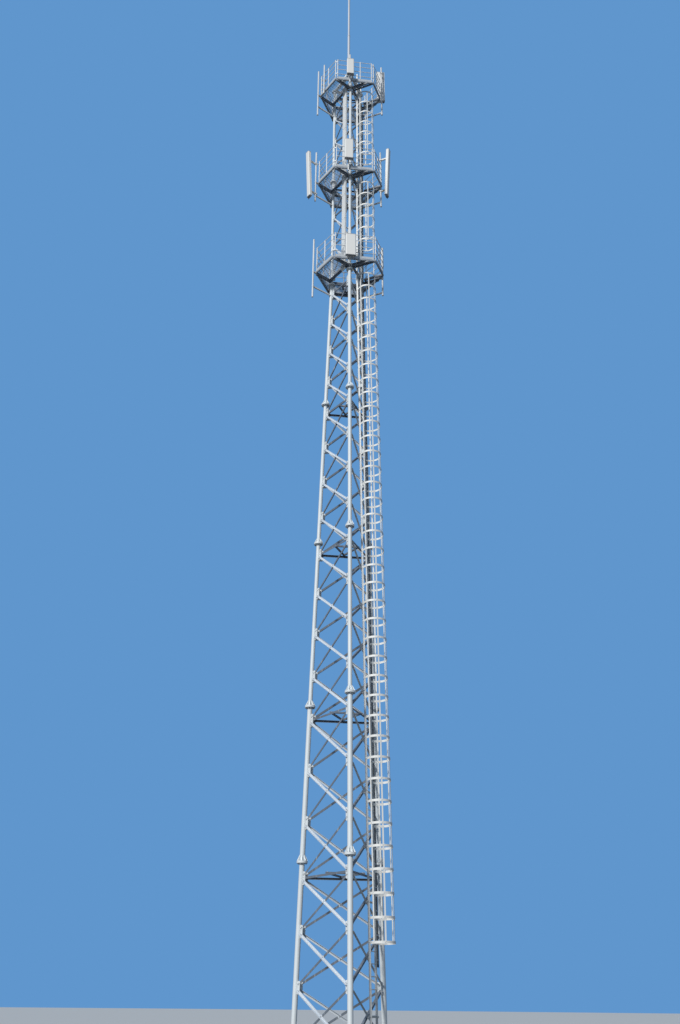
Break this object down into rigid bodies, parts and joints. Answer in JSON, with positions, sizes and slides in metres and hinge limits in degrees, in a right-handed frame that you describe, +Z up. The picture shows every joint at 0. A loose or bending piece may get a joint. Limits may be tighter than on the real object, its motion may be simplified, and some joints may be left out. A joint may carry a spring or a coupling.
{
  "type": "three-legged lattice telecommunications tower",
  "caption": "Self-supporting three-legged tubular lattice tower with cross bracing, railed platforms, panel aerials on pipes, a caged ladder and a lightning rod.",
  "frame": {"origin": "underside centre of the front left leg's base flange", "axes": "+Z up the tower, the ladder face looks towards -Y, +X from the front left leg to the front right leg"},
  "size_m": [2.59, 2.9953, 39.95],
  "materials": {
    "leg_steel": "hot-dip galvanised, matt grey-white with faint spangle",
    "brace_steel": "hot-dip galvanised, matt grey-white with faint spangle",
    "platform_steel": "hot-dip galvanised, matt grey-white with faint spangle",
    "grating_steel": "hot-dip galvanised bar grating, dull grey",
    "railing_steel": "hot-dip galvanised, matt grey-white with faint spangle",
    "ladder_steel": "hot-dip galvanised, matt grey-white with faint spangle",
    "cage_steel": "hot-dip galvanised, matt grey-white with faint spangle",
    "pipe_steel": "hot-dip galvanised, matt grey-white with faint spangle",
    "rod_steel": "hot-dip galvanised, matt grey-white with faint spangle",
    "riser_steel": "matt pale grey paint",
    "cable_black": "matt black cable sheath",
    "radome_plastic": "pale grey weathered radome"
  },
  "bodies": {
    "root": {"leg_section_1": "leg_steel", "leg_section_2": "leg_steel", "leg_section_3": "leg_steel", "leg_section_4": "leg_steel", "leg_section_5": "leg_steel", "leg_section_6": "leg_steel", "leg_section_7": "leg_steel", "front_bracing_lower": "brace_steel", "right_bracing_lower": "brace_steel", "left_bracing_lower": "brace_steel", "front_bracing_upper": "brace_steel", "right_bracing_upper": "brace_steel", "left_bracing_upper": "brace_steel", "diaphragms": "brace_steel", "platform_1_frame": "platform_steel", "platform_2_frame": "platform_steel", "platform_3_frame": "platform_steel", "platform_1_floor": "grating_steel", "platform_2_floor": "grating_steel", "platform_3_floor": "grating_steel", "platform_1_railing": "railing_steel", "platform_2_railing": "railing_steel", "platform_3_railing": "railing_steel", "ladder_lower": "ladder_steel", "ladder_upper": "ladder_steel", "ladder_brackets": "ladder_steel", "cage_left": "cage_steel", "cage_left_front": "cage_steel", "cage_front": "cage_steel", "cage_right_front": "cage_steel", "cage_right": "cage_steel", "cable_tray": "ladder_steel", "feeder_cables": "cable_black", "cable_riser": "riser_steel", "platform_1_pipes": "pipe_steel", "platform_2_pipes": "pipe_steel", "platform_3_pipes": "pipe_steel", "platform_1_antennas": "radome_plastic", "platform_2_antennas": "radome_plastic", "platform_3_antennas": "radome_plastic", "top_frame": "leg_steel", "lightning_rod": "rod_steel"}
  },
  "joints": []
}
